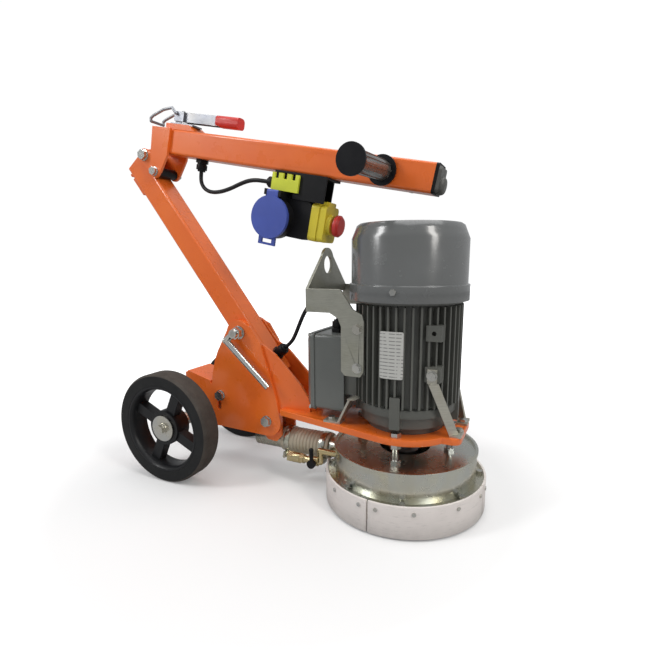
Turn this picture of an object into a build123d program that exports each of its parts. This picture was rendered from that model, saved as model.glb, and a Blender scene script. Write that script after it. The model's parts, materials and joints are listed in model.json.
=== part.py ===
from build123d import *
import math
import os

# Walk-behind floor grinder with one disc, stored with its handle folded forward over the motor.
# +X points forward from the wheels to the grinding head, +Y to the left side, +Z up, floor at z = 0.
# Everything is drawn about the spindle axis (x = y = 0) and moved back by SHIFT_X when it is written,
# so that the origin ends up at the bottom centre of the whole machine.

# ---------------------------------------------------------------- driving dimensions (mm)
SHIFT_X = 244.98           # from the spindle axis to the middle of the machine's length

WHEEL_RADIUS = 115.0
WHEEL_WIDTH = 44.0
WHEEL_OUTER_Y = 153.0      # outer face of each wheel, from the middle plane
RIM_RADIUS = 90.0
SPOKE_TURN = 25.0          # how far the wheels have rolled, to their first spoke
AXLE_X, AXLE_Z = -470.0, 115.0
AXLE_RADIUS = 10.0
BEARING_RADIUS = 23.5

TUBE = 50.0                # square tube of the column and of the handle
TUBE_WALL = 3.0
TUBE_CORNER = 5.0
COLUMN_LEAN = 37.0         # degrees back from the vertical
COLUMN_ABOVE = 455.0       # from the clamp bolt to the top end
COLUMN_BELOW = 115.0
CLAMP_X, CLAMP_Z = -350.0, 306.0
HANDLE_DROP = 11.4         # degrees, the folded handle slopes down to the front
HANDLE_LENGTH = 618.0
HINGE_OUT = 36.0           # hinge axis in front of the tube's middle
HINGE_BACK = 16.0          # hinge axis below the end face of the column
END_GAP = 1.0              # left between the two tube ends when unfolded
ROLLER_DOWN = 44.0         # rubber stop roller below the hinge axis

PLATE = 6.0                # sheet of gussets and side plates
GUSSET_Y = 25.0            # inner faces of the gussets, on the column's sides
SIDE_Y = 31.4              # inner faces of the side plates of the wheel frame
PIVOT_X, PIVOT_Z = -289.0, 121.0
SLOT_X, SLOT_Z = -407.0, 163.0
SWING = 6.0                # degrees that the wheel frame can swing up about its pivot bolt

BASE_TOP = 153.0
BASE_THICK = 12.0
BASE_RADIUS = 98.0
STUD_CIRCLE = 84.0

FRAME_RADIUS = 86.0        # motor frame under the fins
FIN_RADIUS = 98.0
FRAME_BOTTOM, FRAME_TOP = 203.0, 382.0
COVER_RADIUS, BAND_RADIUS = 103.5, 107.0
BAND_BOTTOM, BAND_TOP = 385.5, 414.0
COVER_TOP = 517.0
SHAFT_RADIUS = 14.0
PAD_X, PAD_Y = 66.0, 80.0  # bolt line and face of the four motor pads
PAD_Z = (268.0, 337.0)

HOOD_RADIUS = 134.0
HOOD_TOP = 110.0
HOOD_FLOOR = 105.0         # top side of the hood's roof, inside its rolled rim
HOOD_BOTTOM = 60.0
SKIRT_RADIUS = 152.0
SKIRT_TOP, SKIRT_BOTTOM = 61.0, 3.3
DISC_RADIUS = 125.0
SEGMENT_HEIGHT = 12.0
SUCTION_Z = 74.0
WATER_Y = -45.0            # line of the water fittings beside the dust hose
ELBOW_X = -160.0

BAR_S = 529.0              # cross bar for the hands, along the handle from its hinge end
BAR_RADIUS = 11.0
BAR_UP, BAR_TILT = 1.5, 3.0   # above the tube's middle line, and degrees down on the right side
GRIP_END, GRIP_START = 168.0, 30.0

CABLE = 8.0


# ---------------------------------------------------------------- helpers
def block(x0, x1, y0, y1, z0, z1):
    """Box between two corners."""
    return Pos((x0 + x1) / 2, (y0 + y1) / 2, (z0 + z1) / 2) * Box(x1 - x0, y1 - y0, z1 - z0)


def rod(start, end, radius, bore=0.0):
    """Round bar, or a tube when it has a bore, between two points."""
    a, b = Vector(*start), Vector(*end)
    plane = Plane(origin=a, z_dir=(b - a).normalized())
    profile = Circle(radius) - Circle(bore) if bore else Circle(radius)
    return extrude(plane * profile, (b - a).length)


def hexagon(centre, direction, across, height):
    """Hexagonal nut or bolt head standing on a point."""
    plane = Plane(origin=Vector(*centre), z_dir=Vector(*direction))
    return extrude(plane * RegularPolygon(across / 2, 6, major_radius=False), height)


def cross_bolt(x, z, radius, reach, head=6.0, washer=1.6):
    """Bolt along Y with a washer and head on the near side and a washer and nut on the far side."""
    across = radius * 3.2
    bolt = rod((x, -reach - washer, z), (x, reach + washer + head, z), radius)
    bolt += rod((x, -reach - washer, z), (x, -reach, z), across * 0.62)
    bolt += rod((x, reach, z), (x, reach + washer, z), across * 0.62)
    bolt += hexagon((x, -reach - washer, z), (0, -1, 0), across, head)
    bolt += hexagon((x, reach + washer, z), (0, 1, 0), across, head)
    return bolt


def xz_plate(points, y0, y1):
    """Flat plate standing in the XZ plane, from outline points (x, z)."""
    face = Plane.XZ * make_face(Polyline(*points, close=True))
    return Pos(0, y1, 0) * extrude(face, y1 - y0)


def both_sides(shape):
    """The shape and its mirror image across the middle plane."""
    return [shape, mirror(shape, about=Plane.XZ)]


def square_tube(length):
    """Hollow square tube with rounded corners, along +Z from the origin."""
    outer = RectangleRounded(TUBE, TUBE, TUBE_CORNER)
    inner = RectangleRounded(TUBE - 2 * TUBE_WALL, TUBE - 2 * TUBE_WALL, TUBE_CORNER - TUBE_WALL + 0.5)
    return extrude(outer - inner, length)


def cord_path(points):
    """Straight runs joined by the largest tangent arcs that the runs allow."""
    corners = [Vector(*p) for p in points]
    radii = []
    for before, corner, after in zip(corners, corners[1:], corners[2:]):
        turn = math.radians((corner - before).get_angle(after - corner))
        run = min((corner - before).length, (after - corner).length)
        radii.append(0.45 * run / math.tan(turn / 2))
    print("cord radii", [round(r, 1) for r in radii])
    return FilletPolyline(*corners, radius=radii)


def cord(points, diameter):
    path = cord_path(points)
    profile = Plane(origin=path @ 0, z_dir=path % 0) * Circle(diameter / 2)
    solid = sweep(profile, path)
    ideal = math.pi * diameter**2 / 4 * path.length
    print("cord length", round(path.length, 1), "volume ratio", round(solid.volume / ideal, 4))
    return solid


def gland(base, direction, radius, length):
    """Cable gland: hexagon foot, round body and domed cap with a hole for the cable."""
    at, way = Vector(*base), Vector(*direction).normalized()
    foot = hexagon(at, way, radius * 2.1, length * 0.3)
    body = rod(at, at + way * length * 0.85, radius * 0.86)
    cap = rod(at + way * length * 0.42, at + way * length * 0.85, radius)
    nose = rod(at + way * length * 0.85, at + way * length, radius * 0.72)
    return foot + body + cap + nose


# Frames of the two tubes. In each, Y stays the machine's Y.
FOLD = math.radians(COLUMN_LEAN + HANDLE_DROP)                # between the handle's normal and the column
COLUMN = Pos(CLAMP_X, 0, CLAMP_Z) * Rot(0, -COLUMN_LEAN, 0)   # local Z runs up the column, X to its front


def on_column(front, up, y=0.0):
    """World place of a point given in front of the column's middle and above the clamp bolt."""
    a = math.radians(COLUMN_LEAN)
    x = CLAMP_X + front * math.cos(a) - up * math.sin(a)
    z = CLAMP_Z + front * math.sin(a) + up * math.cos(a)
    return (x, y, z)


HINGE = on_column(HINGE_OUT, COLUMN_ABOVE - HINGE_BACK)
DROP = math.radians(HANDLE_DROP)
HANDLE_X = HINGE[0] + (HINGE_BACK + END_GAP) * math.cos(DROP) + HINGE_OUT * math.sin(DROP)
HANDLE_Z = HINGE[2] - (HINGE_BACK + END_GAP) * math.sin(DROP) + HINGE_OUT * math.cos(DROP)
HANDLE = Pos(HANDLE_X, 0, HANDLE_Z) * Rot(0, HANDLE_DROP, 0)   # local X runs along the handle, Z up


def on_handle(along, up, y=0.0):
    """World place of a point given along the handle and above its middle line."""
    x = HANDLE_X + along * math.cos(DROP) + up * math.sin(DROP)
    z = HANDLE_Z - along * math.sin(DROP) + up * math.cos(DROP)
    return (x, y, z)


BAR = HANDLE * Pos(BAR_S, 0, BAR_UP) * Rot(BAR_TILT, 0, 0)     # local Y runs along the cross bar

nodes = {}

# ---------------------------------------------------------------- base frame of the head
gusset_outline = [
    (-189, 141), (-189, 168), (-193, 182), (-211, 207), (-268, 264), (-300, 284), (-332, 326),
    (-352, 331), (-372, 318), (-384, 282), (-424, 184), (-426, 150), (-404, 138),
    (-320, 112), (-292, 78), (-270, 76), (-258, 90), (-258, 141),
]
gusset = xz_plate(gusset_outline, -GUSSET_Y - PLATE, -GUSSET_Y)
for bolt_x, bolt_z, bolt_r in ((PIVOT_X, PIVOT_Z, 6), (SLOT_X, SLOT_Z, 6), (CLAMP_X, CLAMP_Z, 6)):
    gusset -= rod((bolt_x, -60, bolt_z), (bolt_x, 0, bolt_z), bolt_r)
nodes["gusset_plates"] = both_sides(gusset)

base_low = BASE_TOP - BASE_THICK
FRONT_BOLT, REAR_BOLT = (104.0, 26.0), (-128.0, 58.0)
rear_x, rear_half = -252.0, 45.0
taper = math.atan2(BASE_RADIUS - rear_half, -rear_x)
tangent = (-BASE_RADIUS * math.sin(taper), BASE_RADIUS * math.cos(taper))
base_face = make_face(Polyline((rear_x, -rear_half), (tangent[0], -tangent[1]), tangent,
                               (rear_x, rear_half), close=True))
base_face += Circle(BASE_RADIUS)
base_face += Pos(86, 0) * RectangleRounded(52, 112, 16)
base_face -= Circle(46)
base_plate = Pos(0, 0, base_low) * extrude(base_face, BASE_THICK)
LUG_TURNS = [90 * number + 4 for number in range(4)]       # the four studs and the motor's lugs
for turn in LUG_TURNS:
    base_plate -= Rot(0, 0, turn) * Pos(0, -STUD_CIRCLE, base_low) * Cylinder(6, 60)
for plate in nodes["gusset_plates"]:
    base_plate -= plate
for side in (-1, 1):
    base_plate -= Pos(FRONT_BOLT[0], side * FRONT_BOLT[1], base_low) * Cylinder(4, 60)
    base_plate -= Pos(REAR_BOLT[0], side * REAR_BOLT[1], base_low) * Cylinder(4, 60)
nodes["base_plate"] = [base_plate]

frame_bolts = []
for bolt_x, bolt_z in ((PIVOT_X, PIVOT_Z), (SLOT_X, SLOT_Z)):
    frame_bolts.append(cross_bolt(bolt_x, bolt_z, 5.9, SIDE_Y + PLATE + 0.3, head=7.0))
    frame_bolts.append(rod((bolt_x, -GUSSET_Y, bolt_z), (bolt_x, GUSSET_Y, bolt_z), 10, 6.2))
clamp_bolt = rod((CLAMP_X, -62, CLAMP_Z), (CLAMP_X, 53, CLAMP_Z), 5.9)
clamp_bolt += rod((CLAMP_X, 38.1, CLAMP_Z), (CLAMP_X, 40.1, CLAMP_Z), 13)
clamp_bolt += hexagon((CLAMP_X, 40.1, CLAMP_Z), (0, 1, 0), 19, 8)
clamp_bolt += rod((CLAMP_X, -41.0, CLAMP_Z), (CLAMP_X, -38.1, CLAMP_Z), 14)
frame_bolts.append(clamp_bolt)
nodes["frame_bolts"] = frame_bolts

# ---------------------------------------------------------------- motor
motor_frame = Pos(0, 0, (FRAME_BOTTOM + FRAME_TOP) / 2) * (
    Cylinder(FRAME_RADIUS, FRAME_TOP - FRAME_BOTTOM) - Cylinder(FRAME_RADIUS - 6, FRAME_TOP - FRAME_BOTTOM)
)
FIN_COUNT = 44
FIN_WIDTH = 3.2
for number in range(FIN_COUNT):
    angle = 360 / FIN_COUNT * (number + 0.5)
    if abs(angle - 180) < 32:
        continue
    fin = block(FRAME_RADIUS - 3, FIN_RADIUS, -FIN_WIDTH / 2, FIN_WIDTH / 2, FRAME_BOTTOM + 3, FRAME_TOP - 3)
    motor_frame += Rot(0, 0, angle) * fin
for side_x in (-1, 1):
    for side_y in (-1, 1):
        for pad_z in PAD_Z:
            low_y, high_y = sorted((side_y * 52, side_y * PAD_Y))
            pad = block(PAD_X * side_x - 13, PAD_X * side_x + 13, low_y, high_y, pad_z - 13, pad_z + 13)
            pad -= Cylinder(FRAME_RADIUS - 3, 1000)
            hole = rod((PAD_X * side_x, side_y * 66, pad_z), (PAD_X * side_x, side_y * 90, pad_z), 4)
            motor_frame = motor_frame + pad - hole
seat = block(-105, -78, -48, 48, FRAME_BOTTOM + 3, 312) - Cylinder(FRAME_RADIUS - 3, 1000)
motor_frame += seat
motor_frame -= block(-110, -78, -20, 20, 240, 280)

stator = rod((0, 0, 230), (0, 0, 340), FRAME_RADIUS - 6, 50)
nodes["stator"] = [stator]

drive_shield = rod((0, 0, BASE_TOP), (0, 0, BASE_TOP + 14), 72)
drive_shield += rod((0, 0, BASE_TOP + 14), (0, 0, FRAME_BOTTOM), 84)
drive_shield += rod((0, 0, 188), (0, 0, FRAME_BOTTOM), 92)
drive_shield -= rod((0, 0, BASE_TOP + 16), (0, 0, FRAME_BOTTOM), 70)
drive_shield += rod((0, 0, BASE_TOP - 8), (0, 0, BASE_TOP + 40), 45.8)
drive_shield -= rod((0, 0, BASE_TOP - 10), (0, 0, BASE_TOP + 50), 20)
drive_shield -= rod((0, 0, BASE_TOP + 20), (0, 0, BASE_TOP + 40), 31.02)
for turn in LUG_TURNS:
    lug = block(-9, 9, -97, -82, BASE_TOP + 16, FRAME_BOTTOM)
    lug += block(-9, 9, -97, -87, FRAME_BOTTOM, 226)
    drive_shield += Rot(0, 0, turn) * (lug - Cylinder(83, 1000))
    motor_frame -= Rot(0, 0, turn) * block(-11, 11, -100, -86.5, FRAME_BOTTOM, 228)
nodes["motor_frame"] = [motor_frame]
COVER_SCREWS = (-88, 32, 152)
fan_shield = rod((0, 0, FRAME_TOP), (0, 0, FRAME_TOP + 14), 98, 26.02)
fan_shield += rod((0, 0, FRAME_TOP - 12), (0, 0, FRAME_TOP), FRAME_RADIUS - 6.1, 26.02)
for turn in COVER_SCREWS:
    fan_shield += Rot(0, 0, turn) * block(88, BAND_RADIUS - 2.5, -7, 7, BAND_BOTTOM + 1, BAND_TOP - 4)
nodes["end_shields"] = [drive_shield, fan_shield]

SKIN = 2.0
cover_face = make_face(Polyline(
    (BAND_RADIUS, BAND_BOTTOM), (BAND_RADIUS, BAND_TOP - 1), (COVER_RADIUS, BAND_TOP),
    (COVER_RADIUS, COVER_TOP - 26), (COVER_RADIUS - 9, COVER_TOP - 3.5), (COVER_RADIUS - 14, COVER_TOP),
    (0, COVER_TOP), (0, COVER_TOP - SKIN), (COVER_RADIUS - 14, COVER_TOP - SKIN),
    (COVER_RADIUS - 9 - SKIN, COVER_TOP - 4.5), (COVER_RADIUS - SKIN, COVER_TOP - 26.5),
    (COVER_RADIUS - SKIN, BAND_TOP - 2), (BAND_RADIUS - SKIN, BAND_TOP - 3),
    (BAND_RADIUS - SKIN, BAND_BOTTOM), close=True))
fan_cover = revolve(Plane.XZ * cover_face, Axis.Z)
GRILLE_SLOTS = 24
for number in range(GRILLE_SLOTS):
    slot = Rot(0, 0, 360 / GRILLE_SLOTS * number) * Pos(60, 0, COVER_TOP) * Box(44, 5, 10)
    fan_cover -= slot
nodes["fan_cover"] = [fan_cover]

box_back, box_front, box_half = -166.0, -105.0, 54.0
box_low, box_high = 170.0, 318.0
terminal_box = block(box_back, box_front, -box_half, box_half, box_low, box_high)
terminal_box = fillet(terminal_box.edges().filter_by(Axis.X), 8)
terminal_box -= block(box_back - 1, box_front - 4, -box_half + 4, box_half - 4, box_low + 4, box_high - 4)
nodes["terminal_box"] = [terminal_box]

lid_face = Plane(origin=(box_back, 0, (box_low + box_high) / 2), x_dir=(0, 1, 0), z_dir=(-1, 0, 0))
lid_size = (2 * box_half + 4, box_high - box_low + 4)
lid_rim = extrude(lid_face * RectangleRounded(*lid_size, 9), 8)
lid_crown = loft([lid_face.offset(8) * RectangleRounded(*lid_size, 9),
                  lid_face.offset(20) * RectangleRounded(lid_size[0] - 30, lid_size[1] - 16, 9)])
terminal_lid = lid_rim + lid_crown
for side in (-1, 1):
    screw_y = side * (box_half - 2)
    for z in (box_low + 3, box_high - 3):
        terminal_lid -= rod((box_back - 8, screw_y, z), (box_back - 30, screw_y, z), 5)
nodes["terminal_lid"] = [terminal_lid]

nodes["run_capacitor"] = [rod((-140, -24, 180), (-140, -24, 275), 20)]
terminal_gland = gland((-134, -14, box_high), (0, 0, 1), 11.5, 24)

screws = []
for turn in COVER_SCREWS:
    way = Vector(math.cos(math.radians(turn)), math.sin(math.radians(turn)), 0)
    screws.append(hexagon(way * BAND_RADIUS + Vector(0, 0, 404), way, 10, 3.5))
for side in (-1, 1):
    for z in (box_low + 3, box_high - 3):
        screws.append(hexagon((box_back - 8, side * (box_half - 2), z), (-1, 0, 0), 7, 4))

# ---------------------------------------------------------------- lifting bracket and stays
arm_near, arm_far = -PAD_Y - 5, -PAD_Y
web_x = -166.0
arm_outline = [
    (web_x, 405), (-99, 405), (-75, 371), (-57, 362), (-54, 350), (-54, 262), (-60, 252),
    (-90, 252), (-97, 260), (-97, 340), (-103, 354), (-119, 363), (web_x, 363),
]
arm = xz_plate(arm_outline, arm_near, arm_far)
for pad_z in PAD_Z:
    arm -= rod((-PAD_X, arm_near - 1, pad_z), (-PAD_X, arm_far + 1, pad_z), 4.2)
eye_plane = Plane(origin=(web_x, 0, 0), x_dir=(0, 1, 0), z_dir=(1, 0, 0))
eye_face = make_face(Polyline((arm_near, 392), (-arm_near, 392), (-arm_near, 405), (24, 462), (-24, 462),
                              (arm_near, 405), close=True))
eye_face += Pos(0, 452) * Circle(26)
eye_face -= Pos(0, 446) * Circle(17)
eye = extrude(eye_plane * eye_face, 5)
nodes["lifting_bracket"] = [arm + mirror(arm, about=Plane.XZ) + eye]


def strap(p, q, width, thick, facing):
    """Flat bar between two points, its broad side facing a given direction."""
    start, end = Vector(*p), Vector(*q)
    along = (end - start).normalized()
    plane = Plane(origin=start, x_dir=along.cross(Vector(*facing)).normalized(), z_dir=along)
    return extrude(plane * Rectangle(width, thick), (end - start).length)


stay_top_z = PAD_Z[0]
front_stay = block(PAD_X - 8, PAD_X + 8, -PAD_Y - 4, -PAD_Y, stay_top_z - 14, stay_top_z + 10)
front_stay += strap((PAD_X + 1, -PAD_Y - 2, stay_top_z - 12), (99, -44, BASE_TOP + 2), 16, 4, (0.6, -1, 0))
front_stay += block(92, 112, -50, -16, BASE_TOP, BASE_TOP + 4)
front_stay -= block(40, 140, -100, 0, 100, BASE_TOP)
front_stay -= block(PAD_X - 14, PAD_X + 14, -PAD_Y, -50, stay_top_z - 14, stay_top_z + 14)
front_stay -= Cylinder(FIN_RADIUS + 0.5, 1000) & block(0, 100, -100, 0, FRAME_BOTTOM - 20, stay_top_z - 15)
front_stay -= rod((FRONT_BOLT[0], -FRONT_BOLT[1], 140), (FRONT_BOLT[0], -FRONT_BOLT[1], 160), 4)
front_stay -= rod((PAD_X, -90, stay_top_z), (PAD_X, -60, stay_top_z), 4.2)
rear_stay = block(-140, -106, -70, -46, BASE_TOP, BASE_TOP + 4)
rear_stay += strap((-110, -60, BASE_TOP + 2), (-84, -66, 206), 22, 4, (-0.8, 0, 0.6))
rear_stay += strap((-84, -66, 206), (-66, -76, 212), 22, 4, (-0.3, 0, 1))
rear_stay -= block(-200, 0, -100, 0, 100, BASE_TOP)
rear_stay -= rod((REAR_BOLT[0], -REAR_BOLT[1], 140), (REAR_BOLT[0], -REAR_BOLT[1], 160), 4)
rear_stay -= Cylinder(FIN_RADIUS + 0.4, 1000)
nodes["motor_stays"] = both_sides(front_stay) + both_sides(rear_stay)

pad_bolts = []
for side in (-1, 1):
    for pad_z in PAD_Z:
        outer = side * (PAD_Y + 5)
        pad_bolts.append(rod((-PAD_X, side * 67, pad_z), (-PAD_X, outer, pad_z), 4)
                         + rod((-PAD_X, outer, pad_z), (-PAD_X, outer + side * 1.6, pad_z), 9)
                         + hexagon((-PAD_X, outer + side * 1.6, pad_z), (0, side, 0), 13, 5.5))
    outer = side * (PAD_Y + 4)
    pad_bolts.append(rod((PAD_X, side * 67, stay_top_z), (PAD_X, outer, stay_top_z), 4)
                     + rod((PAD_X, outer, stay_top_z), (PAD_X, outer + side * 1.6, stay_top_z), 9)
                     + hexagon((PAD_X, outer + side * 1.6, stay_top_z), (0, side, 0), 13, 5.5))
    for x, y in (FRONT_BOLT, REAR_BOLT):
        pad_bolts.append(rod((x, side * y, base_low), (x, side * y, BASE_TOP + 4), 3.9)
                         + hexagon((x, side * y, BASE_TOP + 4), (0, 0, 1), 13, 5.5))
nodes["motor_fasteners"] = screws + pad_bolts

# ---------------------------------------------------------------- hood, skirt and their fasteners
roof_profile = make_face(Polyline(
    (48, HOOD_FLOOR - 3), (48, HOOD_FLOOR), (HOOD_RADIUS - 3, HOOD_FLOOR), (HOOD_RADIUS - 3, HOOD_TOP),
    (HOOD_RADIUS + 2, HOOD_TOP), (HOOD_RADIUS + 2, HOOD_TOP - 5), (HOOD_RADIUS, HOOD_TOP - 5),
    (HOOD_RADIUS, HOOD_FLOOR - 3), close=True))
roof = revolve(Plane.XZ * roof_profile, Axis.Z)
hood = rod((0, 0, HOOD_BOTTOM - 4), (0, 0, HOOD_FLOOR - 3), HOOD_RADIUS, HOOD_RADIUS - 3)
port_x = -182.0
port = rod((-100, 0, SUCTION_Z), (port_x, 0, SUCTION_Z), 22.5)
hood += port - Cylinder(HOOD_RADIUS - 2, 1000)
hood -= rod((port_x - 1, 0, SUCTION_Z), (-110, 0, SUCTION_Z), 20.5)
hood -= rod((-150, WATER_Y, 80), (-110, WATER_Y, 80), 6)
for turn in LUG_TURNS:
    roof -= Rot(0, 0, turn) * Pos(0, -STUD_CIRCLE, HOOD_FLOOR) * Cylinder(6, 30)
nodes["hood"] = [roof, hood]

ring = rod((0, 0, HOOD_BOTTOM - 8), (0, 0, HOOD_BOTTOM - 4), SKIRT_RADIUS - 4, HOOD_RADIUS - 14)
ring += rod((0, 0, 24), (0, 0, HOOD_BOTTOM - 4), SKIRT_RADIUS - 4, SKIRT_RADIUS - 6.5)
port_notch = block(-170, -129, -27, 27, 46, 80)
ring -= port_notch
nodes["skirt_ring"] = [ring]

SLIT = 1.1                 # degrees left between two skirt segments
FIRST_SLIT = -98.0
segments = []
for number in range(4):
    start = FIRST_SLIT + 90 * number + SLIT / 2
    sector = Rot(0, 0, start) * revolve(
        Plane.XZ * (Pos(SKIRT_RADIUS - 2, (SKIRT_TOP + SKIRT_BOTTOM) / 2)
                    * Rectangle(4, SKIRT_TOP - SKIRT_BOTTOM)), Axis.Z, 90 - SLIT)
    segments.append(sector - port_notch)
nodes["skirt_segments"] = segments

hood_fasteners = []
for turn in LUG_TURNS:
    stud = rod((0, -STUD_CIRCLE, HOOD_FLOOR - 14), (0, -STUD_CIRCLE, BASE_TOP + 8), 5.8)
    stud += hexagon((0, -STUD_CIRCLE, base_low), (0, 0, -1), 18, 9)
    stud += hexagon((0, -STUD_CIRCLE, HOOD_FLOOR), (0, 0, 1), 18, 6)
    stud += hexagon((0, -STUD_CIRCLE, HOOD_FLOOR - 3), (0, 0, -1), 18, 8)
    stud += hexagon((0, -STUD_CIRCLE, BASE_TOP), (0, 0, 1), 18, 8)
    hood_fasteners.append(Rot(0, 0, turn) * stud)
for number in range(4):
    for offset in (6, 30, 60, 84):
        angle = math.radians(FIRST_SLIT + 90 * number + offset)
        if math.cos(angle) < -0.965:
            continue
        way = Vector(math.cos(angle), math.sin(angle), 0)
        hood_fasteners.append(rod(way * SKIRT_RADIUS + Vector(0, 0, 49),
                                  way * (SKIRT_RADIUS + 1.8) + Vector(0, 0, 49), 3.6))
for number in range(8):
    angle = math.radians(FIRST_SLIT + 22.5 + 45 * number)
    way = Vector(math.cos(angle), math.sin(angle), 0)
    hood_fasteners.append(hexagon(way * 141 + Vector(0, 0, HOOD_BOTTOM - 4), (0, 0, 1), 10, 6))
nodes["hood_fasteners"] = hood_fasteners

# ---------------------------------------------------------------- dust hose and water line
hose_start, hose_end = -155.0, -264.0
RIB_COUNT = 14
pitch = (hose_start - hose_end) / RIB_COUNT
profile_points = [(22.6, hose_start)]
for number in range(RIB_COUNT):
    x = hose_start - pitch * number
    rib = 25.2 if 3 <= number <= 10 else 26.0
    profile_points += [(rib, x), (26.8, x - pitch * 0.25), (26.8, x - pitch * 0.5), (rib, x - pitch * 0.75)]
profile_points += [(26.0, hose_end), (22.6, hose_end)]
hose_face = make_face(Polyline(*profile_points, close=True))
hose = revolve(Plane.XZ * hose_face, Axis.Z)
nodes["suction_hose"] = [Pos(0, 0, SUCTION_Z) * Rot(0, 90, 0) * hose]


def band_clamp(x):
    """Worm-drive hose clamp round the hose, with its screw housing underneath."""
    ring_part = rod((x - 6, 0, SUCTION_Z), (x + 6, 0, SUCTION_Z), 28.3, 26.85)
    housing = block(x - 7, x + 7, -28, -12, SUCTION_Z - 30, SUCTION_Z - 21) - rod(
        (x - 8, 0, SUCTION_Z), (x + 8, 0, SUCTION_Z), 26.85)
    screw = rod((x, -36, SUCTION_Z - 26), (x, -20, SUCTION_Z - 26), 3.6)
    return ring_part + housing + screw


nodes["hose_clamps"] = [band_clamp(-250), band_clamp(-168)]

spigot = rod((-240, 0, SUCTION_Z), (-330, 0, SUCTION_Z), 22.5, 20.5)
spigot += block(-286, -281, -GUSSET_Y, GUSSET_Y, SUCTION_Z, PIVOT_Z + 12) - rod(
    (-330, 0, SUCTION_Z), (-230, 0, SUCTION_Z), 21.5)
spigot -= rod((PIVOT_X, -60, PIVOT_Z), (PIVOT_X, 60, PIVOT_Z), 10)
nodes["dust_spigot"] = [spigot]

fittings = rod((-230, WATER_Y, 57), (-186, WATER_Y, 57), 7)
fittings += hexagon((-232, WATER_Y, 57), (1, 0, 0), 20, 12)
fittings += rod((-220, WATER_Y, 57), (-204, WATER_Y, 57), 10.5)
fittings += hexagon((-206, WATER_Y, 57), (1, 0, 0), 18, 10)
valve = rod((-186, WATER_Y, 57), (-164, WATER_Y, 57), 9.5)
valve += rod((-172, WATER_Y, 57), (-172, WATER_Y - 12, 57), 7)
valve += rod((-164, WATER_Y, 57), (ELBOW_X, WATER_Y, 57), 6.5)
pipe = rod((ELBOW_X, WATER_Y, 57), (ELBOW_X, WATER_Y, 80), 6) + Pos(ELBOW_X, WATER_Y, 57) * Sphere(6.5)
pipe += Pos(ELBOW_X, WATER_Y, 80) * Sphere(6.5) + rod((ELBOW_X, WATER_Y, 80), (-116, WATER_Y, 80), 5.8)
nodes["water_line"] = [fittings + valve + pipe - rod((-240, WATER_Y, 57), (-222, WATER_Y, 57), 5)]

tap = rod((-172, WATER_Y - 12.2, 57), (-172, WATER_Y - 20, 57), 8.5)
tap += rod((-172, WATER_Y - 16, 57), (-172, WATER_Y - 16, 86), 4.0)
tap += Pos(-172, WATER_Y - 16, 86) * Sphere(4.6)
nodes["tap_lever"] = [tap]

# ---------------------------------------------------------------- spindle: all that turns with the shaft
rotor = rod((0, 0, 84), (0, 0, 436), SHAFT_RADIUS)
rotor += rod((0, 0, 232), (0, 0, 338), 49.4)
nodes["rotor_shaft"] = [rotor]
bearing_low = rod((0, 0, BASE_TOP + 20), (0, 0, BASE_TOP + 38), 31, SHAFT_RADIUS + 0.03)
bearing_high = rod((0, 0, FRAME_TOP - 8), (0, 0, FRAME_TOP + 10), 26, SHAFT_RADIUS + 0.03)
nodes["motor_bearings"] = [bearing_low, bearing_high]
fan = rod((0, 0, 408), (0, 0, 432), 24, SHAFT_RADIUS) + rod((0, 0, 408), (0, 0, 411), 84, SHAFT_RADIUS)
for number in range(7):
    fan += Rot(0, 0, 360 / 7 * number) * block(22, 84, -1.5, 1.5, 411, 438)
nodes["cooling_fan"] = [fan]
holder = rod((0, 0, 60), (0, 0, 100), 26, SHAFT_RADIUS) + rod((0, 0, 34), (0, 0, 60), 58, 8)
holder -= rod((0, 0, 50), (0, 0, 61), SHAFT_RADIUS)
holder = holder - rod((0, 0, 84), (0, 0, 101), SHAFT_RADIUS)
nodes["disc_holder"] = [holder]
disc = rod((0, 0, SEGMENT_HEIGHT), (0, 0, 22), DISC_RADIUS, 8)
disc += rod((0, 0, 22), (0, 0, 34), 60, 8)
diamond = []
SEGMENTS = 12
for number in range(SEGMENTS):
    tooth = block(82, 120, -6, 6, 0, SEGMENT_HEIGHT)
    diamond.append(Rot(0, 0, 360 / SEGMENTS * number) * tooth)
nodes["grinding_disc"] = [disc] + diamond

# ---------------------------------------------------------------- wheel frame
corner = 33.0
side_outline = make_face(Polyline(
    (-289, 88), (-414, 92), (AXLE_X, 84), (-501, 115), (-503, 206), (-430, 187), (-427, 206), (-418, 241),
    (-409, 262), (-382, 309), (-352, 331), (-322, 318), (-300, 284), (-280, 222), (-264, 168), (-256, 121),
    close=True))
side_outline += Pos(PIVOT_X, PIVOT_Z) * Circle(corner)
side_outline += Pos(AXLE_X, AXLE_Z) * Circle(31)
side_outline += Pos(CLAMP_X - 4, CLAMP_Z - 4) * Circle(29)
side_outline -= Pos(AXLE_X, AXLE_Z) * Circle(AXLE_RADIUS)
side_outline -= Pos(PIVOT_X, PIVOT_Z) * Circle(6)
for bolt_x, bolt_z, travel in ((SLOT_X, SLOT_Z, 2.2 * SWING), (CLAMP_X, CLAMP_Z, SWING)):
    reach = math.hypot(bolt_x - PIVOT_X, bolt_z - PIVOT_Z)
    start = math.degrees(math.atan2(bolt_z - PIVOT_Z, bolt_x - PIVOT_X))
    side_outline -= SlotArc(CenterArc((PIVOT_X, PIVOT_Z), reach, start, travel), 12.6)
side_plate = Pos(0, -SIDE_Y, 0) * extrude(Plane.XZ * side_outline, PLATE)
top_slope = math.degrees(math.atan2(206 - 187, 503 - 430))
cross_plate = Pos(-466.5, 0, 196.5) * Rot(0, top_slope, 0) * Pos(0, 0, 2.6) * Box(66, 2 * (SIDE_Y + PLATE), 5)
cross_plate += block(-500, -495, -SIDE_Y, SIDE_Y, 150, 206)
for plate in both_sides(side_plate):
    cross_plate -= plate
nodes["side_plates"] = both_sides(side_plate) + [cross_plate]

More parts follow.
